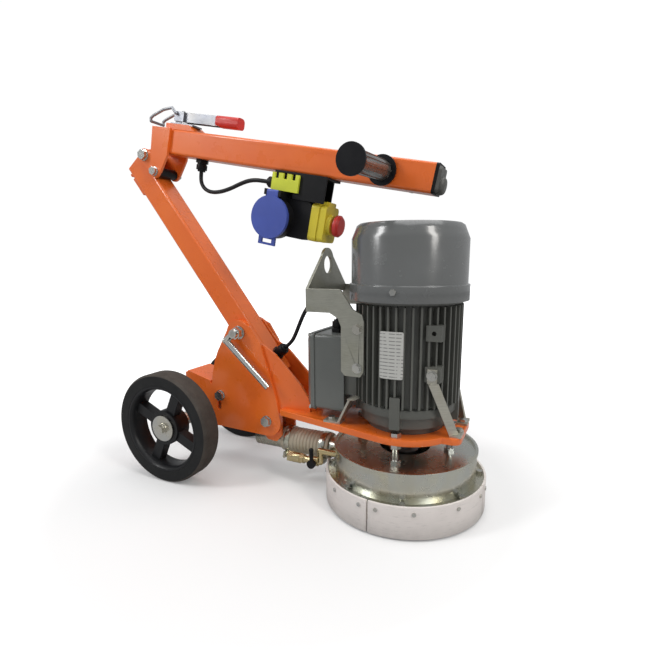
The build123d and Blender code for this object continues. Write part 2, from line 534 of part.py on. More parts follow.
axle = rod((AXLE_X, -WHEEL_OUTER_Y + 8, AXLE_Z), (AXLE_X, WHEEL_OUTER_Y - 8, AXLE_Z), AXLE_RADIUS)
hub_inner = WHEEL_OUTER_Y - WHEEL_WIDTH
axle_fittings = [rod((AXLE_X, -SIDE_Y, AXLE_Z), (AXLE_X, SIDE_Y, AXLE_Z), 14, AXLE_RADIUS)]
for side in (-1, 1):
    plate_face, hub_face = side * (SIDE_Y + PLATE), side * (hub_inner - 1)
    outer_face = side * (WHEEL_OUTER_Y - 8)
    axle_fittings.append(rod((AXLE_X, plate_face, AXLE_Z), (AXLE_X, hub_face, AXLE_Z), 14, AXLE_RADIUS))
    cap = rod((AXLE_X, outer_face, AXLE_Z), (AXLE_X, outer_face + side * 3, AXLE_Z), 27)
    cap += rod((AXLE_X, outer_face + side * 3, AXLE_Z), (AXLE_X, outer_face + side * 5, AXLE_Z), 12)
    cap += hexagon((AXLE_X, outer_face + side * 5, AXLE_Z), (0, side, 0), 18, 8)
    axle_fittings.append(cap)
nodes["axle"] = [axle] + axle_fittings

bearings = []
for side in (-1, 1):
    for start in (hub_inner + 1, WHEEL_OUTER_Y - 23):
        bearings.append(rod((AXLE_X, side * start, AXLE_Z), (AXLE_X, side * (start + 14), AXLE_Z),
                            BEARING_RADIUS, AXLE_RADIUS + 0.02))
nodes["wheel_bearings"] = bearings


def wheel(side):
    """Tyre of one wheel, and its rim, hub and spokes, built along +Y and put on the given side."""
    inner, outer = hub_inner, WHEEL_OUTER_Y
    middle = (inner + outer) / 2
    tyre_face = make_face(Polyline(
        (RIM_RADIUS, inner), (WHEEL_RADIUS - 4, inner), (WHEEL_RADIUS, inner + 4), (WHEEL_RADIUS, outer - 4),
        (WHEEL_RADIUS - 4, outer), (RIM_RADIUS, outer), close=True))
    rim_face = make_face(Polyline(
        (82, inner + 2), (RIM_RADIUS, inner), (RIM_RADIUS, outer), (86, outer), (82, outer - 6), (80, middle),
        close=True))
    tyre = revolve(Plane.XY * tyre_face, Axis.Y)
    rim = revolve(Plane.XY * rim_face, Axis.Y)
    hub = rod((0, inner, 0), (0, outer - 9, 0), 36, BEARING_RADIUS + 0.05)
    wheel_parts = [rim, hub]
    for number in range(4):
        spoke = Rot(0, SPOKE_TURN + 90 * number, 0) * block(30, 84, middle - 11, middle + 9, -11, 11)
        wheel_parts.append(spoke - rim - rod((0, inner, 0), (0, outer, 0), 36))
    place = Pos(AXLE_X, 0, AXLE_Z)
    if side < 0:
        tyre = mirror(tyre, about=Plane.XZ)
        wheel_parts = [mirror(part, about=Plane.XZ) for part in wheel_parts]
    return place * tyre, [place * part for part in wheel_parts]


for side, name in ((-1, "right"), (1, "left")):
    tyre, wheel_parts = wheel(side)
    nodes["tyre_" + name] = [tyre]
    nodes["wheel_" + name] = wheel_parts

# clamp lever on the clamp bolt: nut, short leg and long round leg
lever_y = -48.5
LEVER_BAR = 7.0
lever = hexagon((CLAMP_X, -41.3, CLAMP_Z), (0, -1, 0), 22, 12)
knee = (CLAMP_X - 22, lever_y - 6, CLAMP_Z - 16)
tip = (-272, lever_y - 6, 200)
lever += rod((CLAMP_X, lever_y - 6, CLAMP_Z), knee, LEVER_BAR) + Pos(*knee) * Sphere(LEVER_BAR + 0.4)
lever += rod(knee, tip, LEVER_BAR)
lever += rod((CLAMP_X, -48, CLAMP_Z), (CLAMP_X, -62, CLAMP_Z), 9)
lever -= rod((CLAMP_X, -70, CLAMP_Z), (CLAMP_X, -30, CLAMP_Z), 5.95)
nodes["clamp_lever"] = [lever]

# ---------------------------------------------------------------- column
column_tube = COLUMN * Pos(0, 0, -COLUMN_BELOW) * square_tube(COLUMN_ABOVE + COLUMN_BELOW)
column_tube -= rod((CLAMP_X, -60, CLAMP_Z), (CLAMP_X, 60, CLAMP_Z), 5.95)
lug_z = COLUMN_ABOVE - HINGE_BACK
lug = block(TUBE / 2 - 1, HINGE_OUT, -24.5, 24.5, lug_z - 9, lug_z + 9)
lug += rod((HINGE_OUT, -24.5, lug_z), (HINGE_OUT, 24.5, lug_z), 9)
catch = block(-TUBE / 2 - 6, -TUBE / 2 + 1, -20, 20, COLUMN_ABOVE - 66, COLUMN_ABOVE - 9)
catch -= block(-TUBE / 2 - 9, -TUBE / 2 - 1.5, -21, 21, COLUMN_ABOVE - 22, COLUMN_ABOVE - 14.6)
column_tube += COLUMN * lug
column_tube += COLUMN * catch
column_tube -= rod((HINGE[0], -40, HINGE[2]), (HINGE[0], 40, HINGE[2]), 6.05)
GLAND_UP = -78.0                       # cable outlet, below the clamp bolt
gland_base = on_column(TUBE / 2, GLAND_UP)
gland_way = Vector(*on_column(1, 0)) - Vector(*on_column(0, 0))
column_tube -= rod(on_column(TUBE / 2 - 6, GLAND_UP), on_column(TUBE / 2 + 1, GLAND_UP), 8)
nodes["column_tube"] = [column_tube]
nodes["cable_glands"] = [gland(gland_base, gland_way, 11.5, 28), terminal_gland]

# ---------------------------------------------------------------- handle
GLAND_S, GLAND_LENGTH = 115.0, 24.0    # cable outlet on the underside of the tube
handle_tube = HANDLE * Rot(0, 90, 0) * square_tube(HANDLE_LENGTH)
handle_tube -= BAR * rod((0, -60, 0), (0, 60, 0), BAR_RADIUS + 0.02)
pedestal = xz_plate([(29, TUBE / 2), (106, TUBE / 2), (88, 36), (29, 36)], -22, 22)
handle_tube += HANDLE * pedestal
handle_tube -= rod(on_handle(GLAND_S, -30), on_handle(GLAND_S, -20), 8)
nodes["handle_tube"] = [handle_tube]

hinge_s, hinge_t = -HINGE_BACK - END_GAP, -HINGE_OUT
ear_low = (hinge_s + ROLLER_DOWN * math.sin(FOLD), hinge_t - ROLLER_DOWN * math.cos(FOLD))
ear_face = make_face(Polyline((0.5, 25), (50, 25), (46, -30), (31, -66), (8, -74), (-27, -47), (-29, -27),
                              (0.5, -22), close=True))
ear_face += Pos(hinge_s, hinge_t) * Circle(14)
ear_face += Pos(*ear_low) * Circle(13)
ear_face -= Pos(hinge_s, hinge_t) * Circle(6)
ear_face -= Pos(*ear_low) * Circle(5)
ear = Pos(0, -TUBE / 2 - 0.3, 0) * extrude(Plane.XZ * ear_face, 6)
ear += block(4, 46, -TUBE / 2 - 1, -TUBE / 2, -18, 18)
ear = HANDLE * ear
nodes["hinge_ears"] = both_sides(ear)

roller_at = on_handle(*ear_low)
ear_outer = TUBE / 2 + 6.3
hinge_bolts = [cross_bolt(HINGE[0], HINGE[2], 5.98, ear_outer, head=8.0),
               cross_bolt(roller_at[0], roller_at[2], 4.98, ear_outer, head=7.0)]
nodes["hinge_bolts"] = hinge_bolts
roller_radius = HINGE_OUT - TUBE / 2 - 0.35
nodes["stop_roller"] = [rod((roller_at[0], -TUBE / 2 + 0.5, roller_at[2]),
                            (roller_at[0], TUBE / 2 - 0.5, roller_at[2]), roller_radius, 5.0)]

# over-centre latch on top of the handle
LATCH_S, LATCH_T = 50.0, 50.0          # axis of the latch lever
HOOK_S, HOOK_T = 49.0, 57.0            # axis of the hook on that lever
HOOK_END_S, HOOK_END_T = -18.5, 35.7   # bar of the hook that drops behind the column's catch
WIRE, WIRE_Y = 2.9, 17.4
latch_base = block(33, 93, -14, 14, 36, 39)
for side in (-1, 1):
    low, high = sorted((side * 8, side * 11))
    latch_base += block(LATCH_S - 6.5, LATCH_S + 8, low, high, 38, LATCH_T)
    latch_base += rod((LATCH_S, low, LATCH_T), (LATCH_S, high, LATCH_T), 8)
latch_base -= rod((LATCH_S, -20, LATCH_T), (LATCH_S, 20, LATCH_T), 3.05)
nodes["latch_base"] = [HANDLE * latch_base]

LEVER_LOW, LEVER_TOP, LEVER_END = 43.0, 62.0, 156.0
latch_lever = block(42, LEVER_END, -14, 14, LEVER_LOW, LEVER_TOP)
latch_lever -= block(41, LEVER_END + 1, -11.4, 11.4, LEVER_LOW - 1, LEVER_TOP - 2.5)
for side in (-1, 1):
    outer_low, outer_high = sorted((side * 9, side * 15))
    wall_low, wall_high = sorted((side * 6.6, side * 9))
    step_low, step_high = sorted((side * 6.6, side * 14))
    latch_lever -= block(66, LEVER_END + 1, outer_low, outer_high, LEVER_LOW - 1, LEVER_TOP + 1)
    latch_lever += block(66, LEVER_END, wall_low, wall_high, LEVER_LOW, LEVER_TOP)
    latch_lever += block(63, 67, step_low, step_high, LEVER_LOW, LEVER_TOP)
latch_lever += rod((LATCH_S, -14, LATCH_T), (LATCH_S, 14, LATCH_T), 3)
for side in (-1, 1):
    latch_lever -= rod((HOOK_S, side * 11, HOOK_T), (HOOK_S, side * 15, HOOK_T), WIRE + 0.05)
nodes["latch_lever"] = [HANDLE * latch_lever]
latch_grip = block(LEVER_END - 8, 203, -12, 12, LEVER_LOW - 1.5, LEVER_TOP + 1.5)
latch_grip = fillet(latch_grip.edges().filter_by(Axis.X), 8)
latch_grip -= block(LEVER_END - 9, LEVER_END + 0.2, -9.05, 9.05, LEVER_LOW - 3, LEVER_TOP + 0.05)
nodes["latch_grip"] = [HANDLE * latch_grip]
hook_parts = []
for side in (-1, 1):
    y = side * WIRE_Y
    bends = [(HOOK_S, HOOK_T), (38, 67), (14, 61), (-14, 47), (-19.5, 42), (HOOK_END_S, HOOK_END_T)]
    wire = rod((HOOK_S, side * 11.6, HOOK_T), (HOOK_S, y, HOOK_T), WIRE)
    wire += Pos(HOOK_S, y, HOOK_T) * Sphere(WIRE)
    for (s0, t0), (s1, t1) in zip(bends, bends[1:]):
        wire += rod((s0, y, t0), (s1, y, t1), WIRE) + Pos(s1, y, t1) * Sphere(WIRE)
    hook_parts.append(wire)
latch_hook = hook_parts[0] + hook_parts[1]
latch_hook += rod((HOOK_END_S, -WIRE_Y, HOOK_END_T), (HOOK_END_S, WIRE_Y, HOOK_END_T), WIRE)
nodes["latch_hook"] = [HANDLE * latch_hook]

# cross bar with two grips, end cap
nodes["cross_bar"] = [BAR * rod((0, -GRIP_END + 4, 0), (0, GRIP_END - 4, 0), BAR_RADIUS)]
grips = []
for side in (-1, 1):
    sleeve = rod((0, GRIP_START, 0), (0, GRIP_END, 0), 16.5)
    sleeve += rod((0, GRIP_START, 0), (0, GRIP_START + 4.5, 0), 25.5)
    sleeve += rod((0, GRIP_END - 5, 0), (0, GRIP_END, 0), 23.5)
    for number in range(10):
        sleeve += Rot(0, 36 * number, 0) * block(15, 17.8, GRIP_START + 2, GRIP_END - 2, -1.6, 1.6)
    sleeve -= rod((0, GRIP_START - 1, 0), (0, GRIP_END - 4, 0), BAR_RADIUS)
    grips.append(BAR * (sleeve if side > 0 else mirror(sleeve, about=Plane.XZ)))
nodes["hand_grips"] = grips
cap = Pos(HANDLE_LENGTH, 0, 0) * Rot(0, 90, 0) * extrude(RectangleRounded(TUBE, TUBE, TUBE_CORNER), 5)
cap += Pos(HANDLE_LENGTH + 5, 0, 0) * Rot(0, 90, 0) * extrude(RectangleRounded(44, 44, 8), 5, taper=28)
cap += Pos(HANDLE_LENGTH - 12, 0, 0) * Rot(0, 90, 0) * extrude(RectangleRounded(43.6, 43.6, 3), 12)
bumper = Pos(HANDLE_LENGTH + 9, -2, -9) * Rot(0, 90, 0) * Cylinder(15, 18)
cap += fillet(bumper.faces().sort_by(Axis.X)[-1].edges(), 7)
nodes["end_cap"] = [HANDLE * cap]

# ---------------------------------------------------------------- switch unit under the handle
under = -TUBE / 2
down = Vector(*on_handle(0, -1)) - Vector(*on_handle(0, 0))
back = Vector(*on_handle(-1, 0)) - Vector(*on_handle(0, 0))
SOCKET_S, SOCKET_T = 337.0, -112.0     # centre of the power inlet
LID_Y, LID_HINGE_T = -55.0, -66.0      # inner face of its lid, and its hinge
BODY_LOW, BODY_TOP = -142.0, -72.0
BODY_NEAR, BODY_FAR = -34.0, 24.0
GLAND_T, GLAND_Y = -48.0, -20.0        # cable entry on the small gland block
nodes["handle_glands"] = [gland(on_handle(GLAND_S, under), down, 11, GLAND_LENGTH),
                          gland(on_handle(322, GLAND_T, GLAND_Y), back, 10.5, 24)]
switch_bracket = block(322, 432, -38, 20, under - 4, under)
switch_bracket += block(366, 432, -38, -34.5, -72, under - 1) + block(366, 420, 16.5, 20, -72, under - 1)
switch_bracket += block(366, 404, -38, 20, BODY_TOP, BODY_TOP + 3)
switch_bracket += block(322, 366, -33, -7, -62, under - 4)
switch_bracket += block(326, 366, -29.5, -7, BODY_TOP, -62)
nodes["switch_bracket"] = [HANDLE * switch_bracket]

lock_plate = block(320, 378, -43, -38, -61.5, -30)
for number in range(3):
    lock_plate -= block(326 + 18 * number, 334 + 18 * number, -44, -37, -40, -29)
lock_plate += block(320, 327, -43, -33, -60, -52)
nodes["lock_plate"] = [HANDLE * lock_plate]

body = block(316, 408, BODY_NEAR, BODY_FAR, BODY_LOW, BODY_TOP)
body = fillet(body.edges().filter_by(Axis.Y), 10)
body += rod((SOCKET_S, LID_Y + 0.4, SOCKET_T), (SOCKET_S, BODY_NEAR + 4, SOCKET_T), 38)
for side in (-1, 1):
    low, high = sorted((SOCKET_S + side * 12.6, SOCKET_S + side * 18))
    body += block(low, high, LID_Y - 6, BODY_NEAR + 4, -79, LID_HINGE_T + 4)
    body -= block(low, high, LID_Y - 7, LID_Y + 0.4, -90, -73)
body += rod((SOCKET_S - 18, LID_Y - 2, LID_HINGE_T), (SOCKET_S + 18, LID_Y - 2, LID_HINGE_T), 1.5)
body -= rod((SOCKET_S, LID_Y - 4, SOCKET_T), (SOCKET_S, -14, SOCKET_T), 24)
nodes["switch_body"] = [HANDLE * body]

pins = []
for turn in (90, 210, 330):
    pin_s = SOCKET_S + 12 * math.cos(math.radians(turn))
    pin_t = SOCKET_T + 12 * math.sin(math.radians(turn))
    pins.append(HANDLE * rod((pin_s, -14, pin_t), (pin_s, -46, pin_t), 3))
nodes["inlet_pins"] = pins

lid = rod((SOCKET_S, LID_Y, SOCKET_T), (SOCKET_S, LID_Y - 8, SOCKET_T), 39)
lid += block(SOCKET_S - 12, SOCKET_S + 12, LID_Y - 6, LID_Y, -80, LID_HINGE_T)
lid += rod((SOCKET_S - 12, LID_Y - 2, LID_HINGE_T), (SOCKET_S + 12, LID_Y - 2, LID_HINGE_T), 4)
lid += block(SOCKET_S - 18, SOCKET_S + 18, LID_Y - 5, LID_Y, -163, -140)
lid -= block(SOCKET_S - 11, SOCKET_S + 11, LID_Y - 9, LID_Y + 1, -159, -152)
lid -= rod((SOCKET_S - 30, LID_Y - 2, LID_HINGE_T), (SOCKET_S + 30, LID_Y - 2, LID_HINGE_T), 1.56)
nodes["socket_lid"] = [HANDLE * lid]

FLAP_S, FLAP_T = 432.0, -70.0          # hinge of the yellow flap that carries the stop button
BUTTON_Y, BUTTON_T = -8.0, -106.0
housing = block(408, 424, BODY_NEAR, BODY_FAR, -141, -73)
housing = fillet(housing.edges().filter_by(Axis.X), 8)
housing -= block(412, 425, -27, 17, -132, -82)
for side in (-24, 10.4):
    housing += block(408, 434, side, side + 3.6, -73.5, -67)
housing += rod((FLAP_S, -24, FLAP_T), (FLAP_S, 14, FLAP_T), 1.5)
nodes["switch_housing"] = [HANDLE * housing]
flap = block(424.4, 438, -32, 22, -140, -74)
flap = fillet(flap.edges().filter_by(Axis.X), 8)
flap += rod((FLAP_S, -20, FLAP_T), (FLAP_S, 10, FLAP_T), 4)
flap += block(428, 436, -20, 10, -78, -70)
flap -= block(424, 434, -26, 16, -132, -82)
flap += rod((436, BUTTON_Y, BUTTON_T), (446, BUTTON_Y, BUTTON_T), 19)
flap -= rod((420, BUTTON_Y, BUTTON_T), (450, BUTTON_Y, BUTTON_T), 9.3)
flap -= rod((FLAP_S, -40, FLAP_T), (FLAP_S, 30, FLAP_T), 1.56)
nodes["switch_flap"] = [HANDLE * flap]
stop = rod((430, BUTTON_Y, BUTTON_T), (452, BUTTON_Y, BUTTON_T), 9.0)
stop += rod((452, BUTTON_Y, BUTTON_T), (462, BUTTON_Y, BUTTON_T), 20)
stop = chamfer(stop.faces().sort_by(Axis.X)[-1].edges(), 4)
nodes["stop_button"] = [HANDLE * stop]
nodes["start_button"] = [HANDLE * block(416, 423.4, BUTTON_Y - 8, BUTTON_Y + 8, -116, -96)]

# ---------------------------------------------------------------- cables
switch_route = [
    on_handle(GLAND_S, under - GLAND_LENGTH), on_handle(GLAND_S, -64), on_handle(122.5, -77, -1),
    on_handle(136, -84.5, -3), on_handle(155, -86.5, -6), on_handle(178, -82.5, -9),
    on_handle(204, -73, -12), on_handle(229, -60.5, -15), on_handle(250, -52, -17.5),
    on_handle(268, -48.6, -19.3), on_handle(284, GLAND_T, GLAND_Y), on_handle(298, GLAND_T, GLAND_Y),
]
nodes["switch_cable"] = [cord(switch_route, CABLE)]
cable_out = Vector(*gland_base) + gland_way * 28
motor_route = [
    tuple(cable_out), tuple(cable_out + gland_way * 18), (-235.5, -0.5, 306), (-225, -1.5, 329),
    (-213, -3, 352), (-197, -5, 371), (-175, -8.5, 382), (-151, -12.5, 382), (-134, -14, 364),
    (-134, -14, box_high + 24),
]
nodes["motor_cable"] = [cord(motor_route, CABLE)]

# ---------------------------------------------------------------- write one STEP file per node
os.makedirs("parts", exist_ok=True)
corners_low, corners_high = [1e9] * 3, [-1e9] * 3
for name, solids in nodes.items():
    pieces = []
    for shape in solids:
        pieces += shape.solids()
    moved = [Pos(SHIFT_X, 0, 0) * piece for piece in pieces]
    whole = Compound(children=moved) if len(moved) > 1 else moved[0]
    export_step(whole, "parts/" + name + ".step")
    box = whole.bounding_box()
    for axis, (low, high) in enumerate(zip(tuple(box.min), tuple(box.max))):
        corners_low[axis] = min(corners_low[axis], low)
        corners_high[axis] = max(corners_high[axis], high)
print("box", [round(v, 2) for v in corners_low], [round(v, 2) for v in corners_high], "nodes", len(nodes))
print("hinge", HINGE, "handle origin", HANDLE_X, HANDLE_Z)
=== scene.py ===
import json
import math

import bmesh
import bpy
import numpy as np
from mathutils import Matrix, Vector


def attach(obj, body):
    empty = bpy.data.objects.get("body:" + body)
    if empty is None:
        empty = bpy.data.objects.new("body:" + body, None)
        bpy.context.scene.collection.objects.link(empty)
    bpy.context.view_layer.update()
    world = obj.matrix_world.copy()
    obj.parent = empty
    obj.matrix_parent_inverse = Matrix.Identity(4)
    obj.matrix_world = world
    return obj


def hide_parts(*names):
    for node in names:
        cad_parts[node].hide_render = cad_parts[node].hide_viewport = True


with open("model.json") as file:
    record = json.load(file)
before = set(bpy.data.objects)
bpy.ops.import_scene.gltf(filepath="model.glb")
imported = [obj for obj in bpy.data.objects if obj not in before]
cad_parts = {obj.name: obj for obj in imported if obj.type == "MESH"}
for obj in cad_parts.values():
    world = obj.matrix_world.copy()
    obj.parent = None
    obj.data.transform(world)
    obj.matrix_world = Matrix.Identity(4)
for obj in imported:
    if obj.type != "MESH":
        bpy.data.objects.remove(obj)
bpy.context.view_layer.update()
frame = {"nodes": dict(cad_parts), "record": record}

MM = 0.001
SHIFT = Vector((244.98, 0, 0))         # the spindle axis is this far in front of the frame's origin, in mm
NODES = frame["nodes"]


def place(x, y, z):
    """Point of the shared frame in metres, from millimetres about the spindle axis."""
    return (Vector((x, y, z)) + SHIFT) * MM


# ------------------------------------------------------------------------------------------ camera
EYE = place(219.0, -794.2, 457.6)
YAW, PITCH, ROLL = math.radians(24.113), math.radians(10.323), math.radians(-0.128)
SENSOR = 36.0
FOCAL = 24.81
NEAREST, FARTHEST = 0.01, 50           # clipping distances in metres
SHIFT_SHARE = 0.0231                   # the picture's centre, as a share of its width


def make_camera():
    forward = Vector((-math.sin(YAW) * math.cos(PITCH), math.cos(YAW) * math.cos(PITCH), -math.sin(PITCH)))
    right = Vector((math.cos(YAW), math.sin(YAW), 0))
    up = right.cross(forward)
    rolled_right = right * math.cos(ROLL) + up * math.sin(ROLL)
    rolled_up = up * math.cos(ROLL) - right * math.sin(ROLL)
    data = bpy.data.cameras.new("camera")
    data.sensor_width = SENSOR
    data.lens = FOCAL
    data.shift_x = -SHIFT_SHARE
    data.shift_y = SHIFT_SHARE
    data.clip_start = NEAREST
    data.clip_end = FARTHEST
    camera = bpy.data.objects.new("camera", data)
    turn = Matrix((rolled_right, rolled_up, -forward)).transposed()
    camera.matrix_world = Matrix.Translation(EYE) @ turn.to_4x4()
    bpy.context.scene.collection.objects.link(camera)
    bpy.context.scene.camera = camera


make_camera()


# ------------------------------------------------------------------------------------------ material recipes
class Recipe:
    """A procedural material: object coordinates, a few textures, and a Principled shader."""

    def __init__(self, name, roughness=0.4, metallic=0.0, coat=0.0, specular=0.5):
        self.material = bpy.data.materials.new(name)
        self.material.use_nodes = True
        self.nodes = self.material.node_tree.nodes
        self.links = self.material.node_tree.links
        self.shader = self.nodes["Principled BSDF"]
        self.shader.inputs["Roughness"].default_value = roughness
        self.shader.inputs["Metallic"].default_value = metallic
        self.shader.inputs["Coat Weight"].default_value = coat
        self.shader.inputs["Coat Roughness"].default_value = 0.12
        self.shader.inputs["Specular IOR Level"].default_value = specular
        self.where = self.nodes.new("ShaderNodeTexCoord").outputs["Object"]

    def stretched(self, scale):
        node = self.nodes.new("ShaderNodeMapping")
        node.inputs["Scale"].default_value = scale
        self.links.new(self.where, node.inputs["Vector"])
        return node.outputs["Vector"]

    def noise(self, scale, detail=3.0, rough=0.55, distortion=0.0, vector=None):
        node = self.nodes.new("ShaderNodeTexNoise")
        node.inputs["Scale"].default_value = scale
        node.inputs["Detail"].default_value = detail
        node.inputs["Roughness"].default_value = rough
        node.inputs["Distortion"].default_value = distortion
        self.links.new(vector or self.where, node.inputs["Vector"])
        return node.outputs["Fac"]

    def cells(self, scale):
        node = self.nodes.new("ShaderNodeTexVoronoi")
        node.feature = "F1"
        node.inputs["Scale"].default_value = scale
        self.links.new(self.where, node.inputs["Vector"])
        return node.outputs["Distance"]

    def ramp(self, fac, *stops):
        """Stops are (position, colour or grey level)."""
        node = self.nodes.new("ShaderNodeValToRGB")
        elements = node.color_ramp.elements
        while len(elements) < len(stops):
            elements.new(0.5)
        for element, (position, colour) in zip(elements, stops):
            element.position = position
            element.color = (colour, colour, colour, 1) if isinstance(colour, (int, float)) else (*colour, 1)
        self.links.new(fac, node.inputs["Fac"])
        return node.outputs["Color"]

    def mix(self, fac, first, second, mode="MIX"):
        node = self.nodes.new("ShaderNodeMix")
        node.data_type = "RGBA"
        node.blend_type = mode
        for key, value in (("Factor", fac), ("A", first), ("B", second)):
            socket = node.inputs[key]
            if isinstance(value, bpy.types.NodeSocket):
                self.links.new(value, socket)
            elif isinstance(value, (int, float)):
                socket.default_value = value
            else:
                socket.default_value = (*value, 1)
        return node.outputs["Result"]

    def edges(self, radius):
        """1 on sharp outside edges and 0 on flat faces, from how a rounded normal leaves the true one."""
        bevel = self.nodes.new("ShaderNodeBevel")
        bevel.samples = 4
        bevel.inputs["Radius"].default_value = radius
        geometry = self.nodes.new("ShaderNodeNewGeometry")
        dot = self.nodes.new("ShaderNodeVectorMath")
        dot.operation = "DOT_PRODUCT"
        self.links.new(bevel.outputs["Normal"], dot.inputs[0])
        self.links.new(geometry.outputs["Normal"], dot.inputs[1])
        return self.ramp(dot.outputs["Value"], (0.86, 1.0), (0.985, 0.0))

    def low_down(self, bottom, top):
        """1 at the height bottom, 0 above top: where floor dust settles."""
        split = self.nodes.new("ShaderNodeSeparateXYZ")
        self.links.new(self.where, split.inputs[0])
        node = self.nodes.new("ShaderNodeMapRange")
        node.inputs["From Min"].default_value = bottom
        node.inputs["From Max"].default_value = top
        node.inputs["To Min"].default_value = 1
        node.inputs["To Max"].default_value = 0
        self.links.new(split.outputs["Z"], node.inputs["Value"])
        return node.outputs["Result"]

    def colour(self, socket):
        self.links.new(socket, self.shader.inputs["Base Color"])

    def rough(self, socket):
        self.links.new(socket, self.shader.inputs["Roughness"])

    def bump(self, height, strength, distance):
        node = self.nodes.new("ShaderNodeBump")
        node.inputs["Strength"].default_value = strength
        node.inputs["Distance"].default_value = distance
        self.links.new(height, node.inputs["Height"])
        self.links.new(node.outputs["Normal"], self.shader.inputs["Normal"])


def scaled(colour, factor):
    return tuple(min(1.0, channel * factor) for channel in colour)


def painted(name, base, shade, roughness, coat, peel=0.25):
    """Powder coat or enamel: slow colour drift, orange peel, a painted highlight along sharp edges and fine
    dust.
    """
    recipe = Recipe(name, coat=coat)
    drift = recipe.ramp(recipe.noise(9, 3), (0.35, base), (0.7, shade))
    scuffs = recipe.ramp(recipe.noise(45, 5, 0.65, 0.6), (0.66, 0.0), (0.80, 0.6))
    body = recipe.mix(scuffs, drift, scaled(base, 0.86))
    # Sharp outside edges are lightened towards 1.25 times the base colour: a painted highlight along the
    # edges.
    body = recipe.mix(recipe.mix(0.5, recipe.edges(0.0012), (0, 0, 0)), body, scaled(base, 1.25))
    recipe.colour(body)
    recipe.rough(recipe.ramp(recipe.noise(35, 4), (0.3, roughness - 0.06), (0.75, roughness + 0.10)))
    recipe.bump(recipe.noise(520, 2, 0.5), peel, 0.00035)
    return recipe.material


def zinc(name, base, roughness, yellow=0.0):
    """Zinc plate: soft patches that lean yellow and blue, dull smears, fine scratches."""
    recipe = Recipe(name, metallic=1.0)
    warm = (base[0], base[1] * 0.985, base[2] * (0.90 - yellow))
    cool = (base[0] * 0.93, base[1] * 0.97, base[2])
    patches = recipe.ramp(recipe.noise(14, 3, 0.5, 1.0), (0.35, warm), (0.65, cool))
    smears = recipe.ramp(recipe.noise(20, 4, 0.6, 0.4, recipe.stretched((1, 1, 0.35))),
                         (0.50, 0.0), (0.85, 0.45))
    recipe.colour(recipe.mix(smears, patches, scaled(base, 0.70)))
    recipe.rough(recipe.ramp(recipe.noise(30, 4, 0.6), (0.3, roughness - 0.04), (0.75, roughness + 0.10)))
    recipe.bump(recipe.noise(200, 3, 0.6, vector=recipe.stretched((1, 1, 5))), 0.025, 0.0002)
    return recipe.material


def moulded(name, base, roughness, grain=0.25, grain_scale=900, coat=0.0, dust=0.12, specular=0.5):
    """Moulded plastic or rubber: fine grain, faint colour drift, dust in the low spots."""
    recipe = Recipe(name, coat=coat, specular=specular)
    drift = recipe.ramp(recipe.noise(18, 3), (0.3, scaled(base, 0.92)), (0.75, scaled(base, 1.1)))
    veil = recipe.ramp(recipe.noise(45, 5, 0.7), (0.5, 0.0), (0.9, dust))
    recipe.colour(recipe.mix(veil, drift, (0.42, 0.40, 0.37)))
    recipe.rough(recipe.ramp(recipe.noise(60, 4), (0.3, roughness - 0.06), (0.75, roughness + 0.12)))
    recipe.bump(recipe.noise(grain_scale, 2, 0.5), grain, 0.0002)
    return recipe.material


def raw_sheet(name, base, roughness):
    """Mill finish sheet: rolling streaks, faint oil stains, scratches."""
    recipe = Recipe(name, metallic=0.75)
    streaks = recipe.noise(60, 5, 0.65, 0.2, recipe.stretched((1, 1, 9)))
    body = recipe.ramp(streaks, (0.3, scaled(base, 0.86)), (0.7, scaled(base, 1.12)))
    stains = recipe.ramp(recipe.noise(14, 4, 0.6, 0.8), (0.5, 0.0), (0.75, 0.55))
    recipe.colour(recipe.mix(stains, body, (base[0] * 0.78, base[1] * 0.76, base[2] * 0.62)))
    recipe.rough(recipe.ramp(recipe.noise(80, 4), (0.3, roughness - 0.05), (0.75, roughness + 0.12)))
    recipe.bump(recipe.noise(420, 4, 0.65, vector=recipe.stretched((1, 1, 5))), 0.18, 0.0003)
    return recipe.material


def worn_white(name):
    """Skirt plastic: off-white with grey scuffs near the floor and scratches round it."""
    recipe = Recipe(name, roughness=0.5, specular=0.4)
    body = recipe.ramp(recipe.noise(22, 4), (0.3, (0.80, 0.745, 0.71)), (0.75, (0.87, 0.81, 0.775)))
    scratches = recipe.ramp(recipe.noise(50, 6, 0.7, 0.3, recipe.stretched((1, 1, 7))),
                            (0.56, 0.0), (0.72, 0.6))
    low = recipe.mix(1.0, recipe.low_down(0.0, 0.03), recipe.noise(40, 5, 0.7), "MULTIPLY")
    body = recipe.mix(scratches, body, (0.54, 0.50, 0.475))
    recipe.colour(recipe.mix(low, body, (0.50, 0.47, 0.44)))
    recipe.bump(recipe.noise(160, 5, 0.7, vector=recipe.stretched((1, 1, 4))), 0.22, 0.0005)
    return recipe.material


def tread_rubber(name):
    """Solid tyre: brownish dust worked into dark rubber."""
    recipe = Recipe(name, roughness=0.75, specular=0.3)
    body = recipe.ramp(recipe.noise(30, 5, 0.7), (0.3, (0.050, 0.042, 0.036)), (0.75, (0.088, 0.075, 0.064)))
    pits = recipe.ramp(recipe.cells(380), (0.05, 1.0), (0.16, 0.0))
    recipe.colour(recipe.mix(recipe.mix(0.5, pits, (0, 0, 0)), body, (0.14, 0.125, 0.11)))
    recipe.bump(recipe.noise(300, 5, 0.7), 0.45, 0.0006)
    return recipe.material


